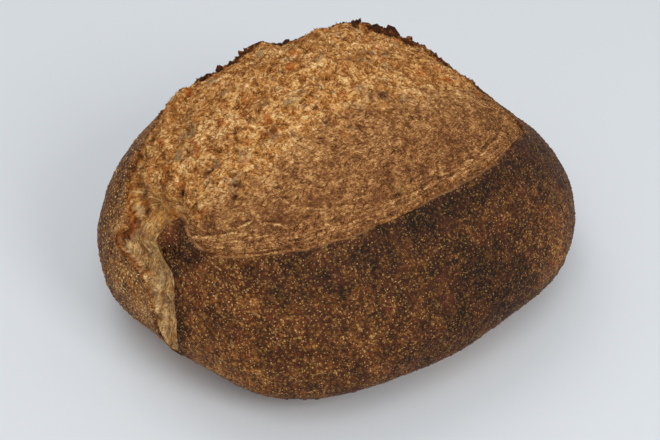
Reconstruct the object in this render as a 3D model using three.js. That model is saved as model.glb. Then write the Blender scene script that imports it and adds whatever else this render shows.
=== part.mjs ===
import * as THREE from 'three';

// A hearth-baked sourdough loaf: one oval loaf that burst open along a single long slash.
// The crust keeps the rounded form; inside the rim of the slash the torn crumb (the bloom)
// fills the crown, and at the left end the tear runs on down towards the floor.
//
// Millimetres, +Z up, the long axis along X, the slash's lip towards -Y, the ear towards +Y.
// Directions are unit vectors from the middle of the loaf. The polar angle is measured down
// from the crown and the azimuth turns from +X towards +Y; both are in degrees.

// Form of the whole loaf
const HALF_LENGTH = 123.5;
const HALF_WIDTH = 103.6;
const HEIGHT = 129.8;
const GIRTH_HEIGHT = 33.2; // height of the widest level
const GIRTH_ROUNDING = 0.15; // softens the profile where dome and skirt meet
const PLAN_POWER = 2.68; // superellipse power of the outline seen from above
const DOME_POWER = 1.72; // the same for the profile above the girth
const SKIRT_POWER = 1.81; // and for the profile tucked in below it
const SKIRT_DEPTH = 1.4; // depth of the full skirt in girth heights; the floor cuts it short
const SWELL_FORWARD = 0.039; // fuller towards +X
const SWELL_BACK = 0.0195; // fuller towards +Y
const SWELL_THREE_X = -0.0147; // three-lobed unevenness of the outline
const SWELL_THREE_Y = 0.0188;
const CROWN_X = -10.2; // the crown leans this far off the middle
const CROWN_Y = 22.6;
const MIDDLE = [3.43, 1.1]; // middle of the finished loaf's box, moved to the origin

// The rim of the slash: azimuth and polar angle round the crown. The lip runs along the front
// from 185 to 326 degrees, the ear along the back from 326 round to 498 degrees (that is 138).
const SLASH_RIM = [
  [154, 55.5], [160, 58.5], [168, 57], [178, 54], [184, 51], [190.5, 54], [197, 55.1],
  [206, 55], [221.5, 52], [239, 49.8], [260, 49.1], [281.5, 49.2], [298, 51], [313, 53.4],
  [327, 59], [339, 53.5], [354, 49], [371, 42.5], [388, 33], [412, 23], [442, 22], [463, 24.5],
  [472, 28], [480, 35.5], [486, 40.5], [492, 42], [498, 43], [503, 46], [508, 50],
];

// The tear at the left end, between two ragged borders: polar angle and azimuth down each one.
const TEAR_LEFT = [[44, 140], [54, 150], [59, 157], [63.5, 163], [67, 162], [70.2, 160], [71.2, 167],
  [72.2, 174], [75, 179.5], [80, 181.8], [86, 183.5], [92, 189]];
const TEAR_RIGHT = [[44, 187], [53, 181.5], [60.5, 177], [63, 180.5], [64.5, 185.5], [68, 188.5],
  [75, 190], [84, 190.8], [92, 189.6]];

// How far the edges of the crust stand proud and the torn parts lie low
const DEGREE = 2; // millimetres along the surface for one degree of direction
const EDGE_WIDTH = 6; // the curled edge of the crust
const STEP_WIDTH = 1.2; // half the width of the step from crust to crumb
const TEAR_STEP_WIDTH = 2.6;
const LIP_RISE = [[150, 1.2], [185, 2.2], [215, 2], [235, 1.4], [300, 1], [326, 0.5], [345, 0],
  [500, 0.4]];
const NOSE_RISE = 2.4; // the corner of crust between the lip and the tear
const LIP_DEPTH = 0.8;
const EAR_DEPTH = 1.2; // the crumb's step down from the ear
const EAR_REACH = 9;
const TEAR_DEPTH = 4;

// The ear is a ragged crest: azimuth and how far it stands up, with the crumb drawn up to it
const EAR_LIFT = [[330, 0.2], [351, 0.2], [359, 0.6], [367, 2.2], [375, 0.8], [381, 1], [388, 3.4],
  [393, 1.4], [399, 0], [405, -1.4], [410, -3], [423, -3.2], [431, -2.2], [436, 0], [441, 2.6],
  [449, 3.4], [456, 1.4], [463, -0.9], [469, -2.2], [475, 0.2], [480, -2.2], [484, -1.6],
  [489, 0.2], [495, 1], [503, 1.2]];
const EAR_CREST_WIDTH = 9;
const EAR_DRAW = 14; // how far into the bloom the crumb is drawn up

// Behind it the crust falls away from the full form: azimuth and depth
const EAR_FALL = [[325, 1], [335, 3.4], [343, 4.8], [355, 5.2], [366, 5], [376, 3.4], [386, 2],
  [396, 1.8], [403, 2.6], [410, 4.6], [417, 6.4], [425, 6.8], [432, 5.2], [438, 2], [446, 0.5],
  [455, 1.8], [466, 2.4], [478, 2.2], [488, 0.4], [498, -0.8]];
const EAR_FALL_REACH = [14, 52, 88]; // full from the first to the second, gone at the third

// Low down the side draws in over the floor here and there: azimuth and depth
const BASE_TUCK = [[158, 0], [165, 1.2], [176, 2.9], [186, 2.3], [197, 3.7], [204, 3], [212, 0.6],
  [228, 0.8], [245, 1], [255, 2], [266, 0.8], [275, 1.4], [286, 3], [296, 1.8], [306, 0.2]];
const BASE_TUCK_FROM = [80, 97]; // polar angles where it begins and where it is full
const SETTLED = 0.9; // what comes closer to the floor than this lies flat on it

// Holes torn open in the crumb: azimuth, polar angle, radius, depth
const HOLES = [[201.5, 36.5, 4.6, 5], [155, 33, 6, 4.5], [146.5, 32.5, 5, 4], [158, 53.5, 6, 5],
  [163, 58.5, 5, 4], [167.5, 48, 6, 4], [170, 67, 5, 3.5], [187, 36.5, 4.5, 3]];

// Net of the surface
const BLOOM_RINGS = 27;
const CRUST_RINGS = 22;
const FLOOR_RINGS = 4;
const RIM_EDGES = 168; // edges round the rim of the slash
const GIRTH_EDGES = 128;
const FLOOR_EDGES = 88; // edges round the flat base
const TEAR_CLOSENESS = 0.8; // how much closer the edges lie round the tear

const radians = THREE.MathUtils.degToRad;
const degrees = THREE.MathUtils.radToDeg;
const smoothstep = THREE.MathUtils.smoothstep;
const lerp = THREE.MathUtils.lerp;
const bell = (distance, width) => Math.exp(-((distance / width) ** 2));

function direction(polar, azimuth) {
  const [p, a] = [radians(polar), radians(azimuth)];
  return new THREE.Vector3(Math.sin(p) * Math.cos(a), Math.sin(p) * Math.sin(a), Math.cos(p));
}

// Smooth curve through knots [x, y], with the slope at a knot set by its neighbours. A closed
// curve repeats every `period`.
function curveThrough(knots, period = 0) {
  const count = knots.length;
  const knot = (i) => {
    if (!period) return knots[Math.min(Math.max(i, 0), count - 1)];
    const turns = Math.floor(i / count);
    const [x, y] = knots[i - turns * count];
    return [x + turns * period, y];
  };
  const slope = (i) => {
    const [before, after] = [knot(i - 1), knot(i + 1)];
    return (after[1] - before[1]) / (after[0] - before[0]);
  };
  return (at) => {
    const [first] = knots[0];
    const x = period ? first + ((((at - first) % period) + period) % period) : at;
    if (x <= first) return knots[0][1];
    if (!period && x >= knots[count - 1][0]) return knots[count - 1][1];
    let i = 0;
    while (knot(i + 1)[0] <= x) i += 1;
    const [x0, y0] = knot(i);
    const [x1, y1] = knot(i + 1);
    const width = x1 - x0;
    const t = (x - x0) / width;
    return y0 * (1 + 2 * t) * (1 - t) ** 2 + y1 * t * t * (3 - 2 * t)
      + width * t * (1 - t) * (slope(i) * (1 - t) - slope(i + 1) * t);
  };
}

const slashRim = curveThrough(SLASH_RIM, 360);
const lipRise = curveThrough(LIP_RISE);
const earLift = curveThrough(EAR_LIFT);
const earFall = curveThrough(EAR_FALL);
const baseTuck = curveThrough(BASE_TUCK);
const tearLeft = curveThrough(TEAR_LEFT);
const tearRight = curveThrough(TEAR_RIGHT);

// Smooth random field between about -1 and 1, one swell for each `size` millimetres.
function swell(point, size, seed) {
  const cell = [point.x, point.y, point.z].map((value) => value / size + seed * 17.3);
  const corner = cell.map(Math.floor);
  const inside = cell.map((value, i) => value - corner[i]);
  const ease = inside.map((t) => t * t * t * (t * (t * 6 - 15) + 10));
  let total = 0;
  for (let n = 0; n < 8; n += 1) {
    const step = [n & 1, (n >> 1) & 1, n >> 2];
    let h = Math.imul(corner[0] + step[0], 0x8da6b343) ^ Math.imul(corner[1] + step[1], 0xd8163841)
      ^ Math.imul(corner[2] + step[2], 0xcb1ab31f);
    h = Math.imul(h ^ (h >>> 13), 0x85ebca6b);
    h ^= h >>> 16;
    const lean = [h & 1023, (h >>> 10) & 1023, (h >>> 20) & 1023].map((bits) => bits / 511.5 - 1);
    let weight = 1;
    let value = 0;
    for (let i = 0; i < 3; i += 1) {
      weight *= step[i] ? ease[i] : 1 - ease[i];
      value += lean[i] * (inside[i] - step[i]);
    }
    total += weight * value;
  }
  return total * 1.6;
}

// The smooth loaf without its relief.
function form(way) {
  const across = Math.hypot(way.x, way.y) || 1e-9;
  const [c, s] = [way.x / across, way.y / across];
  const round = (Math.abs(c) ** PLAN_POWER + Math.abs(s) ** PLAN_POWER) ** (-1 / PLAN_POWER);
  const three = 3 * Math.atan2(s, c);
  const fullness = 1 + SWELL_FORWARD * c + SWELL_BACK * s
    + SWELL_THREE_X * Math.cos(three) + SWELL_THREE_Y * Math.sin(three);
  const power = way.z > 0 ? DOME_POWER : SKIRT_POWER;
  const level = way.z ** 2 / Math.hypot(way.z, GIRTH_ROUNDING);
  const reach = (level ** power + across ** power) ** (-1 / power);
  const rise = reach * way.z;
  const crown = Math.max(rise, 0) ** 1.5;
  return new THREE.Vector3(
    HALF_LENGTH * round * c * fullness * reach * across + CROWN_X * crown,
    HALF_WIDTH * round * s * fullness * reach * across + CROWN_Y * crown,
    GIRTH_HEIGHT + rise * (rise > 0 ? HEIGHT - GIRTH_HEIGHT : SKIRT_DEPTH * GIRTH_HEIGHT),
  );
}

// How far inside the slash (positive) or out on the crust (negative) a direction lies.
function insideSlash(polar, azimuth) {
  const lap = Math.sin(radians(Math.max(polar, 15)));
  const slant = (slashRim(azimuth + 1) - slashRim(azimuth - 1)) / 2 / lap;
  return (slashRim(azimuth) - polar) * DEGREE / Math.hypot(1, slant);
}

function insideTear(polar, azimuth) {
  const turn = (azimuth + 360) % 360;
  const nearest = Math.min(turn - tearLeft(polar), tearRight(polar) - turn);
  return Math.min(nearest * Math.sin(radians(polar)) * 0.8, 92 - polar, polar - 44) * DEGREE;
}

// Height of the real surface above the smooth form.
function relief(way, point) {
  const polar = degrees(Math.acos(way.z));
  const azimuth = degrees(Math.atan2(way.y, way.x));
  const slash = insideSlash(polar, azimuth) + 1.5 * swell(point, 16, 1);
  const tear = insideTear(polar, azimuth) + 2 * swell(point, 14, 2);
  const open = Math.max(slash, tear);
  const turn = azimuth < 150 ? azimuth + 360 : azimuth;
  const ear = smoothstep(turn, 330, 350) * (1 - smoothstep(turn, 488, 500));

  // Crust: a thick curled edge at the lip, the nose over the tear, the ear's crest and its back
  const outside = -open;
  const nose = bell(polar - 60, 12) * bell(azimuth < 0 ? azimuth + 180 : azimuth - 180, 14);
  const edge = lerp(lipRise(turn), NOSE_RISE, nose) * bell(outside, EDGE_WIDTH);
  const lift = ear * earLift(turn);
  const [fullFrom, fullTo, gone] = EAR_FALL_REACH;
  const fall = ear * earFall(turn) * smoothstep(outside, 0, fullFrom)
    * (1 - smoothstep(outside, fullTo, gone));
  const belly = 1.3 * swell(point, 46, 3) + 0.5 * swell(point, 15, 4);
  const crust = edge + lift * bell(outside, EAR_CREST_WIDTH) - fall + belly;

  // Crumb: smooth and stretched behind the lip, torn into crags towards the ear
  const crags = 0.25 + 0.75 * smoothstep(point.y + 0.12 * point.x + 9 * swell(point, 30, 5), -18, 22);
  const ledges = 0.6 * Math.sin(slash / 2.1 + 2.2 * swell(point, 36, 6)) * bell(slash - 10, 13);
  const torn = 2.6 * swell(point, 19, 7) + 1.5 * swell(point, 9.5, 8);
  let holes = 0;
  for (const [at, down, radius, depth] of HOLES) {
    const away = way.angleTo(direction(down, at));
    holes = Math.max(holes, depth * bell(degrees(away) * DEGREE, radius));
  }
  const bloom = crags * torn + (1 - crags) * ledges - holes
    - LIP_DEPTH * (1 - ear) * bell(slash, 14) - EAR_DEPTH * ear * bell(slash, EAR_REACH)
    + lift * bell(slash, EAR_DRAW);
  const rough = 1.2 * torn - holes - TEAR_DEPTH * smoothstep(tear, -1, 7);
  const inTear = smoothstep(tear - slash, -6, 6);
  const crumb = lerp(bloom, rough, inTear);
  const step = lerp(STEP_WIDTH, TEAR_STEP_WIDTH, inTear);
  const tuck = baseTuck((azimuth + 360) % 360) * smoothstep(polar, ...BASE_TUCK_FROM);
  return lerp(crust, crumb, smoothstep(open, -step, step)) - tuck;
}

const STEP = 1e-3;

// The finished surface in a direction: the form, moved along its normal by the relief.
function surface(way) {
  const point = form(way);
  const side = new THREE.Vector3(way.y, -way.x, 0);
  if (side.lengthSq() < 1e-12) side.set(1, 0, 0);
  side.normalize();
  const up = new THREE.Vector3().crossVectors(side, way);
  const along = (tangent) => form(way.clone().addScaledVector(tangent, STEP).normalize()).sub(point);
  const normal = along(side).cross(along(up)).normalize();
  if (normal.dot(way) < 0) normal.negate();
  const moved = point.clone().addScaledVector(normal, relief(way, point));
  const height = moved.z < SETTLED ? 0 : moved.z;
  return new THREE.Vector3(moved.x - MIDDLE[0], moved.y - MIDDLE[1], height);
}

// Azimuth as a function of the share of the way round a closed curve of directions, in even
// steps that draw closer round the tear.
function evenAzimuth(polarAt) {
  const steps = 720;
  const lengths = [0];
  let last = form(direction(polarAt(0), 0));
  for (let i = 1; i <= steps; i += 1) {
    const azimuth = (360 * i) / steps;
    const next = form(direction(polarAt(azimuth), azimuth));
    const closeness = 1 + TEAR_CLOSENESS * bell(azimuth - 175, 25);
    lengths.push(lengths[i - 1] + next.distanceTo(last) * closeness);
    last = next;
  }
  return (share) => {
    const target = share * lengths[steps];
    let i = 1;
    while (i < steps && lengths[i] < target) i += 1;
    const t = (target - lengths[i - 1]) / (lengths[i] - lengths[i - 1]);
    return (360 * (i - 1 + t)) / steps;
  };
}

// Rings of directions from the middle of the bloom out over the rim and down to the floor.
function ringsOfDirections() {
  const middle = direction(17, 285);
  const rimAzimuth = evenAzimuth(slashRim);
  let floorPolar = 90;
  while (form(direction(floorPolar, 0)).z > 0) floorPolar += 0.1;
  const floorAzimuth = evenAzimuth(() => floorPolar);
  const rings = [];
  const ring = (edges, wayAt) => {
    rings.push(Array.from({ length: edges }, (_, i) => wayAt(i / edges)));
  };
  ring(1, () => middle);
  for (let k = 1; k <= BLOOM_RINGS; k += 1) {
    const t = k === BLOOM_RINGS ? 0.992 : k / (BLOOM_RINGS + 0.3);
    ring(Math.max(6, Math.round(RIM_EDGES * t)), (share) => {
      const azimuth = rimAzimuth(share);
      const rim = direction(slashRim(azimuth), azimuth);
      return middle.clone().lerp(rim, t).normalize();
    });
  }
  for (let k = 0; k <= CRUST_RINGS; k += 1) {
    const t = k / CRUST_RINGS;
    const edges = t < 0.6 ? lerp(RIM_EDGES, GIRTH_EDGES, t / 0.6)
      : lerp(GIRTH_EDGES, FLOOR_EDGES, (t - 0.6) / 0.4);
    ring(Math.round(edges), (share) => {
      const above = rimAzimuth(share);
      const azimuth = lerp(above, floorAzimuth(share), t);
      return direction(lerp(slashRim(azimuth) + 0.7, floorPolar, t), azimuth);
    });
  }
  for (let k = 1; k <= FLOOR_RINGS; k += 1) {
    const t = k / (FLOOR_RINGS + 1);
    ring(Math.round(lerp(FLOOR_EDGES, 6, t)), (share) =>
      direction(lerp(floorPolar, 180, t), floorAzimuth(share)));
  }
  ring(1, () => direction(180, 0));
  return rings;
}

// Triangles between two closed rings of vertices that start at the same azimuth. A ring of one
// vertex is a pole.
function strip(outerStart, outerCount, innerStart, innerCount, triangles) {
  const outerEdges = outerCount > 1 ? outerCount : 0;
  const innerEdges = innerCount > 1 ? innerCount : 0;
  let [i, j] = [0, 0];
  while (i < outerEdges || j < innerEdges) {
    const outer = outerStart + (i % outerCount);
    const inner = innerStart + (j % innerCount);
    const outerIsNext = (i + 0.5) * innerEdges <= (j + 0.5) * outerEdges;
    if (j >= innerEdges || (i < outerEdges && outerIsNext)) {
      triangles.push(outer, outerStart + ((i + 1) % outerCount), inner);
      i += 1;
    } else {
      triangles.push(outer, innerStart + ((j + 1) % innerCount), inner);
      j += 1;
    }
  }
}

function loafGeometry() {
  const rings = ringsOfDirections();
  const positions = [];
  const triangles = [];
  const starts = [];
  for (const ways of rings) {
    starts.push(positions.length / 3);
    for (const way of ways) positions.push(...surface(way).toArray());
  }
  for (let k = 1; k < rings.length; k += 1) {
    strip(starts[k], rings[k].length, starts[k - 1], rings[k - 1].length, triangles);
  }
  const geometry = new THREE.BufferGeometry();
  geometry.setAttribute('position', new THREE.Float32BufferAttribute(positions, 3));
  geometry.setIndex(triangles);
  geometry.computeVertexNormals();
  return geometry;
}

const crustMaterial = new THREE.MeshStandardMaterial({
  name: 'crust',
  color: 0x7a4b2c,
  roughness: 0.75,
  metalness: 0,
});

const loaf = new THREE.Mesh(loafGeometry(), crustMaterial);
loaf.name = 'loaf';

const sourdough = new THREE.Group();
sourdough.add(loaf);

export default sourdough;
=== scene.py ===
import math

import bpy
import numpy as np
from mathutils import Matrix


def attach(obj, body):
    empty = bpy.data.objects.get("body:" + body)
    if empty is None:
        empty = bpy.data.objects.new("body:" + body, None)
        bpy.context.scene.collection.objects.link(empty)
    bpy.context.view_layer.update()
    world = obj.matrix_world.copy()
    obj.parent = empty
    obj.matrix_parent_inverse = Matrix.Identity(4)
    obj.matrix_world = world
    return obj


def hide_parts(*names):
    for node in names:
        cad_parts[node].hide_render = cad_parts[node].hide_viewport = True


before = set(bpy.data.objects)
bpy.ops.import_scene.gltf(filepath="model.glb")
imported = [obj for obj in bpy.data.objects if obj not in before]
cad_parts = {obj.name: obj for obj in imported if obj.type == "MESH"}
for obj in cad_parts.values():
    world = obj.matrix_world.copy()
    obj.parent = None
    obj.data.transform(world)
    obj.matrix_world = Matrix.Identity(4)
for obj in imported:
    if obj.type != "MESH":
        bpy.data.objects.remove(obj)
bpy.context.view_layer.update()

scene = bpy.context.scene
scene.view_settings.view_transform = "Standard"


# The view, the light and the table. The loaf stands on a plain pale table top, seen from
# above its slashed side, under soft lamps from the front right, from above and from behind.

VIEW_TURN = -40  # degrees round the loaf, from straight along +Y
VIEW_DOWN = 42
VIEW_DISTANCE = 0.826
VIEW_AIM = (-0.0069, 0.0019, 0.0389)
LENS = 85
TABLE_SIZE = 6.0
TABLE_COLOUR = (0.66, 0.69, 0.72, 1)
SKY_COLOUR = (0.97, 0.985, 1.0, 1)
SKY_STRENGTH = 0.6
TABLE_ROUGHNESS = 0.5


def aimed(name, data, turn, height, distance, aim=(0, 0, 0)):
    """A camera or a lamp that looks at the loaf, so many degrees round it and up from it."""
    thing = bpy.data.objects.new(name, data)
    around, up = math.radians(turn), math.radians(height)
    away = (math.sin(around) * math.cos(up), -math.cos(around) * math.cos(up), math.sin(up))
    thing.location = [start + distance * part for start, part in zip(aim, away)]
    thing.rotation_euler = (math.pi / 2 - up, 0, around)
    scene.collection.objects.link(thing)
    return thing


def softbox(name, turn, height, distance, size, watts):
    """A square soft light, so many degrees anticlockwise from the camera's side."""
    light = bpy.data.lights.new(name, "AREA")
    light.size = size
    light.energy = watts
    aimed(name, light, turn + VIEW_TURN, height, distance)


camera_data = bpy.data.cameras.new("camera")
camera_data.lens = LENS
scene.camera = aimed("camera", camera_data, VIEW_TURN, VIEW_DOWN, VIEW_DISTANCE, VIEW_AIM)

softbox("key", 42, 40, 1.7, 0.6, 9.5)
softbox("front", -10, 62, 1.7, 0.9, 7)
softbox("back", 215, 60, 1.8, 0.9, 4)

sky = bpy.data.worlds.new("sky")
sky.use_nodes = True
background = sky.node_tree.nodes["Background"].inputs
background["Color"].default_value = SKY_COLOUR
background["Strength"].default_value = SKY_STRENGTH
scene.world = sky

half = TABLE_SIZE / 2
table_mesh = bpy.data.meshes.new("table")
table_mesh.from_pydata([(-half, -half, 0), (half, -half, 0), (half, half, 0), (-half, half, 0)],
                       [], [(0, 1, 2, 3)])
table = bpy.data.objects.new("table", table_mesh)
scene.collection.objects.link(table)
table_top = bpy.data.materials.new("table_top")
table_top.use_nodes = True
surface = table_top.node_tree.nodes["Principled BSDF"].inputs
surface["Base Color"].default_value = TABLE_COLOUR
surface["Roughness"].default_value = TABLE_ROUGHNESS
table_mesh.materials.append(table_top)


# The loaf's body: the whole loaf as one closed skin of baked crust, with its flat underside, the
# curled edges along the slash and the ragged burnt ear. It was one ball of dough, baked on a hot
# stone. Where the slash lies open the body only goes under the crumb, which is laid over it.
# Lengths in this and the next sections are millimetres, angles degrees.


def curve_through(knots, period=0):
    """Smooth curve through knots (x, y), with the slope at a knot set by its neighbours."""
    x, y = np.array(knots, float).T
    if period:
        x = np.concatenate([x[-2:] - period, x, x[:2] + period])
        y = np.concatenate([y[-2:], y, y[:2]])
    else:
        x = np.concatenate([x[:1], x, x[-1:]])
        y = np.concatenate([y[:1], y, y[-1:]])
    slope = (y[2:] - y[:-2]) / (x[2:] - x[:-2])
    x, y = x[1:-1], y[1:-1]

    def curve(at):
        if period:
            at = knots[0][0] + (at - knots[0][0]) % period
        at = np.clip(at, x[0], x[-1])
        i = np.clip(np.searchsorted(x, at, "right") - 1, 0, len(x) - 2)
        width = x[i + 1] - x[i]
        t = (at - x[i]) / width
        return (y[i] * (1 + 2 * t) * (1 - t) ** 2 + y[i + 1] * t * t * (3 - 2 * t)
                + width * t * (1 - t) * (slope[i] * (1 - t) - slope[i + 1] * t))

    return curve


HALF_LENGTH = 123.5
HALF_WIDTH = 103.6
HEIGHT = 129.8
GIRTH_HEIGHT = 33.2
GIRTH_ROUNDING = 0.15
PLAN_POWER = 2.68
DOME_POWER = 1.72
SKIRT_POWER = 1.81
SKIRT_DEPTH = 1.4
SWELL_FORWARD = 0.039
SWELL_BACK = 0.0195
SWELL_THREE_X = -0.0147
SWELL_THREE_Y = 0.0188
CROWN_X = -10.2
CROWN_Y = 22.6
MIDDLE = np.array([3.43, 1.1, 0])

slash_rim = curve_through([
    (154, 55.5), (160, 58.5), (168, 57), (178, 54), (184, 51), (190.5, 54), (197, 55.1),
    (206, 55), (221.5, 52), (239, 49.8), (260, 49.1), (281.5, 49.2), (298, 51), (313, 53.4),
    (327, 59), (339, 53.5), (354, 49), (371, 42.5), (388, 33), (412, 23), (442, 22), (463, 24.5),
    (472, 28), (480, 35.5), (486, 40.5), (492, 42), (498, 43), (503, 46), (508, 50),
], 360)
tear_left = curve_through([
    (44, 140), (54, 150), (59, 157), (63.5, 163), (67, 162), (70.2, 160), (71.2, 167), (72.2, 174),
    (75, 179.5), (80, 181.8), (86, 183.5), (92, 189)])
tear_right = curve_through([
    (44, 187), (51, 183.6), (54.8, 179.2), (58, 178.2), (60.5, 177), (63, 180.5), (64.5, 185.5),
    (68, 188.5), (75, 190), (84, 190.8), (92, 189.6)])
TEAR_TOP_POLAR = 44
TEAR_FOOT_POLAR = 92
TEAR_SLANT = 0.8
DEGREE = 2  # millimetres over the loaf to a degree
EDGE_WIDTH = 6
STEP_WIDTH = 0.7
lip_rise = curve_through([(150, 1.2), (185, 2.2), (215, 2), (235, 1.4), (300, 1), (326, 0.5), (345, 0),
                          (500, 0.4)])
NOSE_RISE = 2.4
LIP_DEPTH = 0.8
EAR_SPAN = (330, 350, 488, 500)
EAR_DEPTH = 1.2
EAR_REACH = 9
TEAR_DEPTH = 4
ear_lift = curve_through([
    (330, 0.2), (351, 0.2), (359, 0.6), (367, 2.2), (375, 0.8), (381, 1), (388, 3.4), (393, 1.4),
    (399, 0), (405, -1.4), (410, -3), (423, -3.2), (431, -2.2), (436, 0), (441, 2.6), (449, 3.4),
    (456, 1.4), (463, -0.9), (469, -2.2), (475, 0.2), (480, -2.2), (484, -1.6), (489, 0.2), (495, 1),
    (503, 1.2)])
EAR_CREST_WIDTH = 9
EAR_DRAW = 14
ear_fall = curve_through([
    (325, 1), (335, 3.4), (343, 4.8), (355, 5.2), (366, 5), (376, 3.4), (386, 2), (396, 1.8),
    (403, 2.6), (410, 4.6), (417, 6.4), (425, 6.8), (432, 5.2), (438, 2), (446, 0.5), (455, 1.8),
    (466, 2.4), (478, 2.2), (488, 0.4), (498, -0.8)])
EAR_FALL_REACH = (0, 14, 52, 88)
base_tuck = curve_through([
    (158, 0), (165, 1.2), (176, 2.9), (186, 2.3), (197, 3.7), (204, 3), (212, 0.6), (228, 0.8),
    (245, 1), (255, 2), (266, 0.8), (275, 1.4), (286, 3), (296, 1.8), (306, 0.2)])
BASE_TUCK_FROM = (80, 97)
HOLES = [
    # azimuth, polar angle, radius, depth, and the strength of the shade painted into it
    (201.5, 36.5, 4.6, 5.5, 1), (203.5, 38.5, 3, 3, 0.9), (155, 33, 6.5, 4, 0.5),
    (146.5, 32.5, 5, 3.5, 0.5), (160, 41.5, 3.4, 2.5, 0.5), (155, 53.6, 2.8, 4, 0.9),
    (158.5, 54.4, 3, 4.5, 0.75), (163, 58.2, 3, 4.5, 1), (167, 48.6, 4.4, 3.5, 0.55),
    (167.5, 53.2, 3.2, 3.2, 0.5), (170, 67, 4.5, 3, 0.45), (187, 36.5, 3.6, 3, 0.85),
    (169.5, 36, 4.6, 3, 0.5), (178, 46, 3.2, 3.5, 1), (189, 39, 2.6, 2, 0.7),
    (235.8, 38.8, 3.4, 1.6, 0.75), (223.8, 42, 3, 1, 0.7), (219, 41.6, 2.4, 0.8, 0.6),
    (256, 19.5, 3.6, 1.6, 0.8), (270.5, 19.8, 2.8, 1.5, 0.8), (356, 20.8, 4.2, 2, 0.8),
    (0, 27, 3, 1.6, 0.7), (321, 29.5, 3.2, 1.2, 0.75), (303, 20.6, 4.4, 0.2, 0.85),
    (296, 19.6, 2.6, 0.2, 0.7), (67, 4, 3.6, 2.4, 0.8), (246.5, 8.8, 3.2, 2, 0.8),
    (260, 43, 3.2, 1.2, 0.65), (270, 46, 2.2, 1.2, 0.5), (279, 48, 2.2, 1.2, 0.5),
    (244.8, 48.6, 2.2, 1.8, 0.9), (184, 77, 3, 2.4, 0.6), (20, 14, 3, 2, 0.7), (120, 12, 3.4, 2.2, 0.7),
    (215, 20, 3, 2, 0.75), (190, 24, 3.4, 2.2, 0.7),
]
CHARRED = [(392, 17, 1), (371, 9, 1), (440, 7, 0.6), (472, 9, 0.7), (352, 6, 0.4)]
BAKE_SPOTS = [
    # how much more it is baked there, azimuth, polar angle, and the spread round and down
    (0.22, 272, 82, 24, 14), (0.19, 181, 59, 9, 9), (-0.09, 234, 80, 20, 12), (-0.17, 178, 84, 9, 8),
    (-0.3, 201, 94, 15, 16), (-0.08, 208, 68, 14, 8), (-0.24, 298, 84, 10, 8),
]
LEDGES = [
    # azimuths, and the distances inside the rim there
    ((189, 196, 200, 207, 216), (-0.5, 5.9, 9.5, 12.2, 12.4)),
    ((204, 214, 224, 233), (15.2, 16.5, 14.9, 11.5)),
    ((226, 238, 249, 256), (23.5, 17.5, 14.6, 10)),
    ((262, 276, 290), (9, 6.5, 5)),
    ((292, 305, 318), (9.5, 7, 7)),
]
torn_from = curve_through([(-96, 10), (-87, 1), (-78, -6), (-69, -13), (-55, -16), (-20, -15.5), (27, -20),
                           (61, -21)])


def direction(polar, azimuth):
    p, a = np.radians(polar), np.radians(azimuth)
    return np.stack([np.sin(p) * np.cos(a), np.sin(p) * np.sin(a), np.cos(p) + 0 * a], -1)


def lerp(a, b, t):
    return a + (b - a) * t


def smoothstep(x, low, high):
    t = np.clip((x - low) / (high - low), 0, 1)
    return t * t * (3 - 2 * t)


def bell(distance, width):
    return np.exp(-(distance / width) ** 2)


def between(x, start, full, fading, end):
    """1 from full to fading, and 0 before the start and after the end."""
    return smoothstep(x, start, full) * (1 - smoothstep(x, fading, end))


def scramble(corner):
    """One random 32-bit number for each whole-number place."""
    x, y, z = np.moveaxis(corner.astype(np.int64).astype(np.uint32), -1, 0)
    h = (x * np.uint32(0x8da6b343)) ^ (y * np.uint32(0xd8163841)) ^ (z * np.uint32(0xcb1ab31f))
    h = (h ^ (h >> np.uint32(13))) * np.uint32(0x85ebca6b)
    return h ^ (h >> np.uint32(16))


def three_shares(h):
    """Three random shares between 0 and 1 out of each random number."""
    return np.stack([h & 1023, (h >> 10) & 1023, (h >> 20) & 1023], -1) / 1023


def swell(point, size, seed):
    """Smooth random field between about -1 and 1, one swell for each `size` millimetres."""
    cell = point / size + seed * 17.3
    corner = np.floor(cell)
    inside = cell - corner
    ease = inside ** 3 * (inside * (inside * 6 - 15) + 10)
    total = 0
    for step in np.ndindex(2, 2, 2):
        lean = three_shares(scramble(corner + step)) * 2 - 1
        weight = np.prod(np.where(step, ease, 1 - ease), -1)
        total = total + weight * np.sum(lean * (inside - step), -1)
    return total * 1.6


def grains(point, size, seed):
    """Distance to the nearest of randomly strewn grains, in spacings, and that grain's own share."""
    cell = point / size + seed * 17.3
    corner = np.floor(cell)
    nearest = np.full(cell.shape[:-1], 9.0)
    own = np.zeros(cell.shape[:-1])
    for step in np.ndindex(3, 3, 3):
        place = corner + step - 1
        h = scramble(place)
        away = np.linalg.norm(place + three_shares(h) - cell, axis=-1)
        closer = away < nearest
        nearest = np.where(closer, away, nearest)
        own = np.where(closer, ((h >> 5) & 4095) / 4095, own)
    return nearest, own


def form(way):
    """The smooth loaf without its relief."""
    x, y, z = np.moveaxis(way, -1, 0)
    across = np.maximum(np.hypot(x, y), 1e-9)
    c, s = x / across, y / across
    plan = (np.abs(c) ** PLAN_POWER + np.abs(s) ** PLAN_POWER) ** (-1 / PLAN_POWER)
    three = 3 * np.arctan2(s, c)
    fullness = (1 + SWELL_FORWARD * c + SWELL_BACK * s
                + SWELL_THREE_X * np.cos(three) + SWELL_THREE_Y * np.sin(three))
    power = np.where(z > 0, DOME_POWER, SKIRT_POWER)
    level = z ** 2 / np.hypot(z, GIRTH_ROUNDING)
    reach = (level ** power + across ** power) ** (-1 / power)
    rise = reach * z
    crown = np.maximum(rise, 0) ** 1.5
    return np.stack([
        HALF_LENGTH * plan * c * fullness * reach * across + CROWN_X * crown,
        HALF_WIDTH * plan * s * fullness * reach * across + CROWN_Y * crown,
        GIRTH_HEIGHT + rise * np.where(rise > 0, HEIGHT - GIRTH_HEIGHT, SKIRT_DEPTH * GIRTH_HEIGHT),
    ], -1)


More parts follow.
